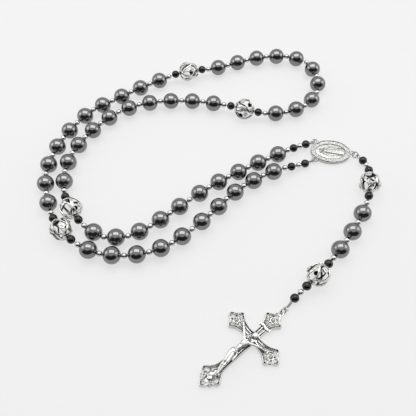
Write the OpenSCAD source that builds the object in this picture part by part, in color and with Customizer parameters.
// A five-decade rosary lying flat, doubled over so that one side of its loop lies inside the other.
// Beads are strung on wire between the centrepiece medal, the pendant and the crucifix.
// Millimetres, +Z up, origin under the middle of the whole piece.

/* [Beads] */
// Diameter of a decade bead
decade_bead_d = 8; // [7.6:0.1:8]
// Diameter of an openwork bead
openwork_bead_d = 10; // [9.4:0.1:10]
// Diameter of a small black bead
black_bead_d = 4; // [3.6:0.1:4]
// Diameter of a round metal spacer
spacer_d = 2.75; // [2.4:0.05:2.75]
// Bore through every bead
bead_bore_d = 1; // [0.9:0.05:1.1]
// Wall of the hollow openwork bead
openwork_wall = 0.7; // [0.6:0.05:0.9]

/* [Wire] */
// Diameter of the stringing wire
wire_d = 0.5; // [0.4:0.05:0.6]
// Space kept between beads where the strand is free to bend
hinge_gap = 0.3; // [0.25:0.05:0.4]
// Space on each side of an openwork bead, which turns on the wire
spin_gap = 0.1; // [0.08:0.02:0.14]
// Mean diameter of the jump rings
jump_ring_d = 2.8; // [2.7:0.05:2.9]
// Wire diameter of the jump rings
jump_wire_d = 0.6; // [0.5:0.05:0.6]

/* [Medal] */
// Length of the centrepiece from head to foot
medal_length = 19.2; // [18:0.2:20]
// Width of the centrepiece
medal_width = 13.2; // [12.6:0.2:13.6]
// Thickness of its raised rim
medal_thickness = 2.2; // [2:0.1:2.4]

/* [Crucifix] */
// From the crossing to the tip of a side arm
side_arm = 14.6; // [14:0.2:15]
// From the crossing to the tip of the top arm
top_arm = 15.7; // [15.2:0.1:16]
// From the crossing to the tip of the foot
foot_arm = 29; // [28:0.5:30]
// Thickness of the cast cross
cross_thickness = 1.6; // [1.4:0.1:1.8]

/* [Hidden] */
$fn = 48;

// Where the origin lies in the frame that the routes below are drawn in
frame_centre = [0.24, 7.19];

// Bead kinds
DECADE = 0;
SPACER = 1;
BLACK = 2;
OPENWORK = 3;
bead_d = [decade_bead_d, spacer_d, black_bead_d, openwork_bead_d];

// Ten beads with a spacer between each two, and the group that parts two decades
ten_beads = [for (i = [0:18]) i % 2 == 0 ? DECADE : SPACER];
divider = [SPACER, BLACK, OPENWORK, BLACK, SPACER];
loop_chain = concat(
    [BLACK, SPACER, BLACK, SPACER], ten_beads, divider, ten_beads, divider, ten_beads,
    divider, ten_beads, divider, ten_beads, [SPACER, BLACK, SPACER, BLACK]
);
pendant_chain = [
    BLACK, SPACER, BLACK, OPENWORK, BLACK, SPACER, DECADE, SPACER, DECADE, SPACER, DECADE,
    SPACER, BLACK, OPENWORK, BLACK, SPACER, BLACK
];

// The beads before which the strand bends
loop_hinges = [13, 14, 24, 37, 38, 48, 61, 75, 85, 86, 99, 109, 110];
pendant_hinges = [5, 12];

// Slack in the wire before some beads, as [bead, millimetres]
loop_slack = [
    [2, 0.4], [4, 0.6], [24, 0.1], [28, 0.3], [61, 0.5], [65, 0.5], [66, 0.5], [96, 0.3],
    [99, 0.2], [119, 0.2], [121, 0.2]
];
pendant_slack = [[2, 0.2], [3, 0.4], [6, 0.4], [12, 0.2]];

// Middle line of the loop, from the medal's lower lug round to its upper lug
loop_route = [
    [48.2, 24], [43, 22], [30.5, 17.5], [20.5, 12], [12, 6], [4.5, -2], [-3, -9.5], [-11, -16.5],
    [-20, -22.5], [-30.5, -25.5], [-41.5, -26], [-52, -23.5], [-60.5, -18], [-66.5, -12], [-71, -4],
    [-74, 5], [-76, 15.5], [-74.5, 26], [-71, 36], [-65.5, 45.5], [-57.5, 55], [-47, 61.5], [-37, 68],
    [-27, 73.5], [-17, 78], [-7, 80.5], [3, 82.5], [13, 86], [23, 89.5], [33.5, 91.5], [44.5, 91],
    [53, 86.5], [57, 76.5], [56, 66], [50, 58], [40.5, 53.5], [30.5, 52], [20.5, 53.5],
    [10.5, 57], [0.5, 59.5], [-10, 60.5], [-20.5, 60.5], [-31, 59], [-41, 55.5], [-49.5, 49.5],
    [-56.5, 42], [-62.5, 33], [-66.5, 23], [-67, 12.5], [-65, 3], [-61, -4.5], [-55, -11.5], [-47.5, -16.5],
    [-39.5, -17.5], [-31, -15], [-22, -9], [-13.5, -2], [-4.5, 5], [4.5, 11.5], [14, 17], [23.5, 22.5],
    [33, 27], [42, 32], [49.5, 35.5]
];

// Middle line of the pendant, from the first jump ring's eye to the second's
pendant_route = [
    [73.4, 26.7], [74.9, 22.8], [75.6, 18], [75.4, 13], [74.5, 8], [72.8, 2], [69.6, -5], [64, -14],
    [57, -23.5], [50.5, -31], [43, -38.5], [34.6, -46]
];

// Heights of the wire at the ends of a strand, where it comes down to a lug or a jump ring
loop_end_rise = [2, 2.4, 2.9, 3.5];
pendant_end_rise = [2, 2.8, 3.7];

// Half a decade for each stretch of the loop, as [name, first bead, last bead]
loop_stretches = [
    ["decade_1_first", 0, 12], ["decade_1_last", 14, 23], ["decade_2_first", 24, 36],
    ["decade_2_last", 38, 47], ["decade_3_first", 48, 60], ["decade_3_last", 61, 74],
    ["decade_4_first", 75, 84], ["decade_4_last", 86, 98], ["decade_5_first", 99, 108],
    ["decade_5_last", 110, 122]
];
pendant_stretches = [["pendant_upper", 0, 4], ["pendant_middle", 5, 11], ["pendant_lower", 12, 16]];

// Single beads that turn on their own, as [name, bead]
swivels = [
    ["swivel_spacer_1", 13], ["swivel_spacer_2", 37], ["swivel_spacer_4", 85], ["swivel_spacer_5", 109]
];
openwork = [
    ["openwork_bead_1", 25], ["openwork_bead_2", 49], ["openwork_bead_3", 73], ["openwork_bead_4", 97]
];
pendant_openwork = [["pendant_openwork_bead_1", 3], ["pendant_openwork_bead_2", 13]];

// The wire stops this far short of a bending point. A bend within a stretch is a short sleeve a
// little wider than the wire, and the straight rods end inside it, apart from each other
wire_stop = 0.15;
sleeve_d = wire_d + 0.2;
sleeve_length = 0.5;
rod_stop = 0.08;

// Lugs on the castings, the eyes in the wire and the jump rings
lug_thickness = 0.8;
lug_height = 1.6;
medal_lug = [1.7, 0.9];
small_lug = [1.35, 0.8];
eye_d = 2.2;
ring_eye_d = 1.8;
ring_lean = 28;
ring_height = lug_height;
ring_in_lug = 0.2;
eye_in_ring = ring_eye_d / 2 - (jump_wire_d + wire_d) / 2 - 0.12;

// The medal's middle and turn, and its lugs in its own frame, head toward +Y
medal_at = [59.5, 30.8];
medal_turn = 84.8;
medal_field = 1.3;
medal_lugs = [[5.3, 7.6], [-5.3, 7.6]];
medal_foot_lug = [0, -medal_length / 2 - 0.85];

// The crucifix's crossing and turn, its head toward +Y
cross_at = [18.3, -61.3];
cross_turn = -49;
cross_lug = [0, top_arm - 0.3];
arm_half_width = 2;
rail_width = 0.55;
rail_height = cross_thickness + 0.5;

// Which way the upper jump ring points from the medal
upper_ring_turn = -40;

// ---- Places along a route ----

function catmull(p, t) = 0.5 * (
    2 * p[1] + (p[2] - p[0]) * t + (2 * p[0] - 5 * p[1] + 4 * p[2] - p[3]) * t * t
    + (3 * p[1] - p[0] - 3 * p[2] + p[3]) * t * t * t
);

function smooth_line(c, steps = 8) = [
    for (i = [0:len(c) - 2], k = [0:steps - 1])
        catmull([c[max(i - 1, 0)], c[i], c[i + 1], c[min(i + 2, len(c) - 1)]], k / steps),
    c[len(c) - 1]
];

function running_sum(values) = [
    for (i = 0, s = values[0]; i < len(values); i = i + 1, s = s + (i < len(values) ? values[i] : 0)) s
];

function running_length(line) = running_sum([
    for (i = [0:len(line) - 1]) i == 0 ? 0 : norm(line[i] - line[i - 1])
]);

function last(values) = values[len(values) - 1];

// A strand is [chain, hinges, slack, route, rise]
function slack_before(strand, i) = last(running_sum([for (s = strand[2]) s[0] == i ? s[1] : 0]));

function space_before(strand, i, closed_gap) =
    i == 0 || i == len(strand[0]) ? 0
    : slack_before(strand, i) + (
        len(search(i, strand[1])) > 0 ? hinge_gap
        : strand[0][i] == OPENWORK || strand[0][i - 1] == OPENWORK ? spin_gap
        : closed_gap
    );

// Room that bead i takes up on the wire, with half of the space on each side of it
function room(strand, i, closed_gap) =
    bead_d[strand[0][i]]
    + (space_before(strand, i, closed_gap) + space_before(strand, i + 1, closed_gap)) / 2;

function strand_length(strand, closed_gap) =
    last(running_sum([for (i = [0:len(strand[0]) - 1]) room(strand, i, closed_gap)]));

// The gap between closed-up beads that lets the strand fill its route
function closed_gap(strand) =
    let (
        route_length = last(running_length(smooth_line(strand[3]))),
        bare = strand_length(strand, 0)
    )
    (route_length - bare) / (strand_length(strand, 1) - bare);

// Height of the wire where bead i begins: the beads rest on the table
function rest_height(chain, i) =
    let (before = chain[max(i - 1, 0)], after = chain[min(i, len(chain) - 1)])
    before == OPENWORK || after == OPENWORK ? openwork_bead_d / 2
    : before == DECADE || after == DECADE ? decade_bead_d / 2
    : (openwork_bead_d + decade_bead_d) / 4;

function wire_height(strand, i) =
    let (from_end = min(i, len(strand[0]) - i))
    from_end < len(strand[4]) ? strand[4][from_end] : rest_height(strand[0], i);

// The points where one bead's room ends and the next one's begins
function meeting_points(strand) =
    let (
        line = smooth_line(strand[3]),
        along = running_length(line),
        gap = closed_gap(strand),
        rooms = [for (i = [0:len(strand[0]) - 1]) room(strand, i, gap)],
        at = concat([0], running_sum(rooms)),
        table_x = [for (i = [0:len(line) - 1]) [along[i], line[i][0]]],
        table_y = [for (i = [0:len(line) - 1]) [along[i], line[i][1]]]
    )
    [
        for (i = [0:len(at) - 1])
            [lookup(at[i], table_x) - frame_centre[0], lookup(at[i], table_y) - frame_centre[1],
                wire_height(strand, i)]
    ];

loop_strand = [loop_chain, loop_hinges, loop_slack, loop_route, loop_end_rise];
pendant_strand = [pendant_chain, pendant_hinges, pendant_slack, pendant_route, pendant_end_rise];
loop_points = meeting_points(loop_strand);
pendant_points = meeting_points(pendant_strand);
loop_gap = closed_gap(loop_strand);
pendant_gap = closed_gap(pendant_strand);

// Middle of bead i, which sits in its room with its own share of space on each side
function bead_middle(strand, points, i, gap) =
    let (start = (space_before(strand, i, gap) + bead_d[strand[0][i]]) / 2)
    points[i] + (points[i + 1] - points[i]) * start / room(strand, i, gap);

function turned(p, angle) =
    [p[0] * cos(angle) - p[1] * sin(angle), p[0] * sin(angle) + p[1] * cos(angle)];
function in_frame(at, p, angle, z) = let (q = at + turned(p, angle) - frame_centre) [q[0], q[1], z];
function heading(a, b) = atan2(b[1] - a[1], b[0] - a[0]);
function step(p, angle, distance) = p + distance * [cos(angle), sin(angle), 0];

// Jump rings: the ring's wire goes through the lug's hole, and the strand's eye is on its far side
foot_hole = in_frame(medal_at, medal_foot_lug, medal_turn, ring_height);
upper_ring = step(foot_hole, upper_ring_turn, ring_in_lug + jump_ring_d / 2);
upper_eye = step(upper_ring, upper_ring_turn, jump_ring_d / 2 + eye_in_ring);
cross_hole = in_frame(cross_at, cross_lug, cross_turn, ring_height);
lower_ring = step(cross_hole, cross_turn + 90, ring_in_lug + jump_ring_d / 2);
lower_eye = step(lower_ring, cross_turn + 90, jump_ring_d / 2 + eye_in_ring);

// The loop's two ends: each eye stands upright round the rim of its lug
lug_middle = (medal_lug[0] + medal_lug[1]) / 2;
end_hole = in_frame(medal_at, medal_lugs[0], medal_turn, lug_height);
start_hole = in_frame(medal_at, medal_lugs[1], medal_turn, lug_height);
start_eye = step(start_hole, heading(start_hole, loop_points[0]), lug_middle);
end_eye = step(end_hole, heading(end_hole, last(loop_points)), lug_middle);

// Where the wire joins each eye
start_stem = step(start_eye, heading(start_hole, loop_points[0]), eye_d / 2);
end_stem = step(end_eye, heading(end_hole, last(loop_points)), eye_d / 2);
upper_stem = step(upper_eye, heading(upper_eye, pendant_points[0]), ring_eye_d / 2 + 0.05);
lower_stem = step(lower_eye, heading(lower_eye, last(pendant_points)), ring_eye_d / 2 + 0.05);

// ---- Beads and wire ----

module point_along(a, b) {
    d = b - a;
    translate(a) rotate([0, acos(d[2] / norm(d)), atan2(d[1], d[0])]) children();
}

module rod(a, b, d) {
    point_along(a, b) cylinder(h = norm(b - a), d = d);
}

module round_bead(d) {
    difference() {
        sphere(d = d);
        cylinder(h = d + 1, d = bead_bore_d, center = true);
    }
}

// Hollow ball with three rows of round windows and a solid collar at each end of the bore
module openwork_ball() {
    rows = [[-38, 1.9], [0, 2.5], [38, 1.9]];
    windows = 8;
    difference() {
        union() {
            difference() {
                sphere(d = openwork_bead_d);
                sphere(d = openwork_bead_d - 2 * openwork_wall);
                for (row = rows, k = [0:windows - 1])
                    rotate([0, 90 - row[0], (k + (row[0] == 0 ? 0.5 : 0)) * 360 / windows])
                        translate([0, 0, openwork_bead_d / 2 - 2 * openwork_wall])
                            cylinder(h = 3 * openwork_wall, d = row[1]);
            }
            for (side = [-1, 1])
                translate([0, 0, side * (openwork_bead_d / 2 - 0.95)])
                    cylinder(h = 1.3, d = 2.2, center = true);
        }
        cylinder(h = openwork_bead_d + 1, d = bead_bore_d, center = true);
    }
}

module bead(strand, points, gap, i) {
    middle = bead_middle(strand, points, i, gap);
    point_along(middle, points[i + 1]) {
        if (strand[0][i] == OPENWORK) openwork_ball();
        else round_bead(bead_d[strand[0][i]]);
    }
}

module beads_of_kind(strand, points, gap, kind, stretch) {
    for (i = [stretch[1]:stretch[2]])
        if (strand[0][i] == kind) bead(strand, points, gap, i);
}

// The point a little way from a toward b
function inward(a, b, by) = a + (b - a) * by / norm(b - a);

// A sleeve over a bend in the wire, along the mean of the two directions
module bend_sleeve(before, at, after) {
    way = (at - before) / norm(at - before) + (after - at) / norm(after - at);
    reach = way * sleeve_length / 2 / norm(way);
    rod(at - reach, at + reach, sleeve_d);
}

// Wire through some points, with what is left off at its two ends
module wire_through(points, start_stop, end_stop) {
    final = len(points) - 2;
    for (i = [0:final])
        rod(
            inward(points[i], points[i + 1], i == 0 ? start_stop : rod_stop),
            inward(points[i + 1], points[i], i == final ? end_stop : rod_stop), wire_d
        );
    for (i = [1:final]) bend_sleeve(points[i - 1], points[i], points[i + 1]);
}

// A stretch's wire: it runs on to the stems of the strand's two eyes, and stops short elsewhere
module stretch_wire(points, stretch, stems) {
    at_start = stretch[1] == 0;
    at_end = stretch[2] == len(points) - 2;
    inner = [for (i = [stretch[1]:stretch[2] + 1]) points[i]];
    wire_through(
        concat(at_start ? [stems[0]] : [], inner, at_end ? [stems[1]] : []),
        at_start ? 0 : wire_stop, at_end ? 0 : wire_stop
    );
}

module torus(mean_d, d) {
    rotate_extrude() translate([mean_d / 2, 0]) circle(d = d, $fn = 24);
}

// Upright eye round a medal lug, with a ball where the strand's wire joins it
module upright_eye(hole, eye, stem) {
    translate(eye) rotate([90, 0, heading(hole, stem)]) torus(eye_d, wire_d);
    translate(stem) sphere(d = sleeve_d);
}

// Flat eye round a jump ring
module flat_eye(eye, stem) {
    translate(eye) torus(ring_eye_d, wire_d);
    translate(stem) sphere(d = sleeve_d);
}

// A jump ring leans over as far as the holes that it runs through let it
module jump_ring(at, turn) {
    translate(at) rotate([90 - ring_lean, 0, turn]) torus(jump_ring_d, jump_wire_d);
}

module placed(at, turn) {
    translate([at[0] - frame_centre[0], at[1] - frame_centre[1], 0]) rotate([0, 0, turn]) children();
}

module lug(at, size) {
    translate([at[0], at[1], lug_height - lug_thickness / 2]) cylinder(h = lug_thickness, r = size[0]);
}

module lug_hole(at, size) {
    translate([at[0], at[1], -1]) cylinder(h = 6, r = size[1]);
}

// ---- Centrepiece ----

function oval_points(length, width) = [
    for (a = [0:7.5:352.5]) [width / 2 * cos(a), length / 2 * sin(a)]
];

module oval(length, width, h) {
    linear_extrude(height = h) polygon(oval_points(length, width));
}

module oval_band(inset, width, h) {
    linear_extrude(height = h) difference() {
        polygon(oval_points(medal_length - 2 * inset, medal_width - 2 * inset));
        polygon(oval_points(medal_length - 2 * (inset + width), medal_width - 2 * (inset + width)));
    }
}

// A robed figure with open hands, and three rays from each hand
module medal_figure() {
    robe = [
        [-1.9, -5.8], [1.9, -5.8], [1.5, -2], [2.2, 1.2], [1, 2.9], [-1, 2.9], [-2.2, 1.2], [-1.5, -2]
    ];
    linear_extrude(height = medal_field + 0.7) polygon(robe);
    translate([0, 3.6, medal_field]) sphere(r = 0.95);
    for (side = [-1, 1], spread = [14, 24, 34])
        translate([side * 1.9, 0.2, 0]) rotate([0, 0, side * spread]) translate([0, -3.8, 0])
            linear_extrude(height = medal_field + 0.25) square([0.3, 3.8]);
}

module medal_body() {
    placed(medal_at, medal_turn) difference() {
        union() {
            oval(medal_length, medal_width, medal_field);
            oval_band(0, 0.9, medal_thickness);
            oval_band(2, 0.3, medal_field + 0.4);
            medal_figure();
            for (at = medal_lugs) lug(at, medal_lug);
            lug(medal_foot_lug, small_lug);
        }
        for (at = medal_lugs) lug_hole(at, medal_lug);
        lug_hole(medal_foot_lug, small_lug);
    }
}

// ---- Crucifix ----

// One arm along +Y from the crossing: narrow at the middle, flared, with a pointed lobed end
function arm_points(length, flare, corner, inset) =
    let (w = arm_half_width - inset, c = corner - 1.4 * inset, tip = length - 1.4 * inset)
    [
        [w, -w], [w, length - flare - corner * 1.25], [w + 0.8, length - flare - corner * 0.55],
        [c - 0.9, length - flare - 0.6], [c, length - flare], [c * 0.72, tip - c * 0.6],
        [c * 0.42, tip - c * 0.52], [0, tip], [-c * 0.42, tip - c * 0.52], [-c * 0.72, tip - c * 0.6],
        [-c, length - flare], [0.9 - c, length - flare - 0.6], [-w - 0.8, length - flare - corner * 0.55],
        [-w, length - flare - corner * 1.25], [-w, -w]
    ];

arms = [
    [0, top_arm, 4.7, 4.7], [90, side_arm, 4.7, 4.7], [-90, side_arm, 4.7, 4.7], [180, foot_arm, 6.6, 5.3]
];

module cross_outline(inset) {
    for (arm = arms) rotate(arm[0]) polygon(arm_points(arm[1], arm[2], arm[3], inset));
}

// Three round windows near each end
module end_windows() {
    for (arm = arms) rotate([0, 0, arm[0]]) {
        for (side = [-1, 1])
            translate([side * arm[3] * 0.52, arm[1] - arm[2] - 0.2, -1]) cylinder(h = 5, r = 0.85);
        translate([0, arm[1] - arm[2] * 0.62, -1]) cylinder(h = 5, r = 0.7);
    }
}

module crucifix_plate() {
    placed(cross_at, cross_turn) difference() {
        union() {
            linear_extrude(height = cross_thickness) cross_outline(0);
            linear_extrude(height = rail_height) difference() {
                cross_outline(0);
                cross_outline(rail_width);
            }
            translate([0, 1.2, 0]) cylinder(h = rail_height, r = 1.4);
            translate([0, -23.4, 0]) rotate([0, 0, 45])
                translate([-1, -1, 0]) cube([2, 2, rail_height]);
            translate([-1.5, 5.2, 0]) cube([3, 1.5, rail_height]);
            lug(cross_lug, small_lug);
        }
        end_windows();
        lug_hole(cross_lug, small_lug);
    }
}

module limb(a, b, ra, rb) {
    hull() {
        translate(a) sphere(r = ra, $fn = 14);
        translate(b) sphere(r = rb, $fn = 14);
    }
}

// The figure, flat at the back where it lies on the cross
module corpus_figure() {
    z = rail_height + 0.5;
    intersection() {
        union() {
            translate([-1, -1.3, z + 0.9]) sphere(r = 1.25, $fn = 20);
            limb([-0.9, -2.2, z + 0.3], [-0.8, -3, z + 0.2], 0.6, 0.7);
            limb([-1.9, -3.3, z], [0.6, -3.2, z], 0.8, 0.8);
            limb([-0.7, -3.9, z + 0.2], [-1, -8.2, z + 0.3], 1.3, 0.95);
            limb([-1, -8.4, z + 0.3], [-1.1, -10.6, z + 0.3], 1.3, 1.2);
            for (side = [-1, 1]) {
                limb([side * 1.3 - 0.6, -3.1, z], [side * 4.6, -0.7, z], 0.6, 0.5);
                limb([side * 4.6, -0.7, z], [side * 7.6, 1, z - 0.1], 0.5, 0.4);
                limb([side * 7.6, 1, z - 0.1], [side * 8.3, 1.5, z - 0.1], 0.4, 0.35);
                limb([side * 0.55 - 1, -10.6, z + 0.2], [side * 0.45 - 0.1, -14.8, z + 0.7], 0.85, 0.65);
                limb([side * 0.45 - 0.1, -14.8, z + 0.7], [side * 0.3 + 0.7, -20, z], 0.62, 0.45);
                limb([side * 0.3 + 0.7, -20, z], [side * 0.35 + 0.9, -21.6, z + 0.1], 0.45, 0.4);
            }
        }
        translate([-15, -30, rail_height]) cube([30, 40, 8]);
    }
}

// ---- Sub-parts ----

module decade_beads(stretch) {
    color("dimgray") beads_of_kind(loop_strand, loop_points, loop_gap, DECADE, stretch);
}

module loop_spacers(stretch) {
    color("silver") beads_of_kind(loop_strand, loop_points, loop_gap, SPACER, stretch);
}

module loop_black_beads(stretch) {
    color("black") beads_of_kind(loop_strand, loop_points, loop_gap, BLACK, stretch);
}

module loop_wire(stretch) {
    color("gainsboro") {
        stretch_wire(loop_points, stretch, [start_stem, end_stem]);
        if (stretch[1] == 0) upright_eye(start_hole, start_eye, start_stem);
        if (stretch[2] == len(loop_chain) - 1) upright_eye(end_hole, end_eye, end_stem);
    }
}

module pendant_beads(stretch) {
    color("dimgray") beads_of_kind(pendant_strand, pendant_points, pendant_gap, DECADE, stretch);
}

module pendant_spacers(stretch) {
    color("silver") beads_of_kind(pendant_strand, pendant_points, pendant_gap, SPACER, stretch);
}

module pendant_black_beads(stretch) {
    color("black") beads_of_kind(pendant_strand, pendant_points, pendant_gap, BLACK, stretch);
}

module pendant_wire(stretch) {
    color("gainsboro") {
        stretch_wire(pendant_points, stretch, [upper_stem, lower_stem]);
        if (stretch[1] == 0) flat_eye(upper_eye, upper_stem);
        if (stretch[2] == len(pendant_chain) - 1) flat_eye(lower_eye, lower_stem);
    }
}

module loop_single(index, tint) {
    color(tint) bead(loop_strand, loop_points, loop_gap, index);
}

module pendant_single(index) {
    color("lightgray") bead(pendant_strand, pendant_points, pendant_gap, index);
}

module centrepiece_medal() {
    color("silver") medal_body();
}

module upper_jump_ring() {
    color("silver") jump_ring(upper_ring, upper_ring_turn);
}

module lower_jump_ring() {
    color("silver") jump_ring(lower_ring, cross_turn + 90);
}

module crucifix_cross() {
    color("silver") crucifix_plate();
}

module crucifix_corpus() {
    color("lightgray") placed(cross_at, cross_turn) corpus_figure();
}

// ---- Node names and drawing ----

function holds(chain, kind, stretch) =
    len([for (i = [stretch[1]:stretch[2]]) if (chain[i] == kind) i]) > 0;

function stretch_nodes(stretches, chain) = [
    for (s = stretches) each concat(
        holds(chain, DECADE, s) ? [str(s[0], "_beads")] : [],
        [str(s[0], "_spacers"), str(s[0], "_wire")],
        holds(chain, BLACK, s) ? [str(s[0], "_black_beads")] : []
    )
];

centrepiece_medal();
upper_jump_ring();
lower_jump_ring();
crucifix_cross();
crucifix_corpus();
for (s = loop_stretches) {
    decade_beads(s);
    loop_spacers(s);
    loop_wire(s);
    loop_black_beads(s);
}
for (s = pendant_stretches) {
    pendant_beads(s);
    pendant_spacers(s);
    pendant_wire(s);
    pendant_black_beads(s);
}
for (s = swivels)
    loop_single(s[1], "silver");
for (s = openwork)
    loop_single(s[1], "lightgray");
for (s = pendant_openwork)
    pendant_single(s[1]);
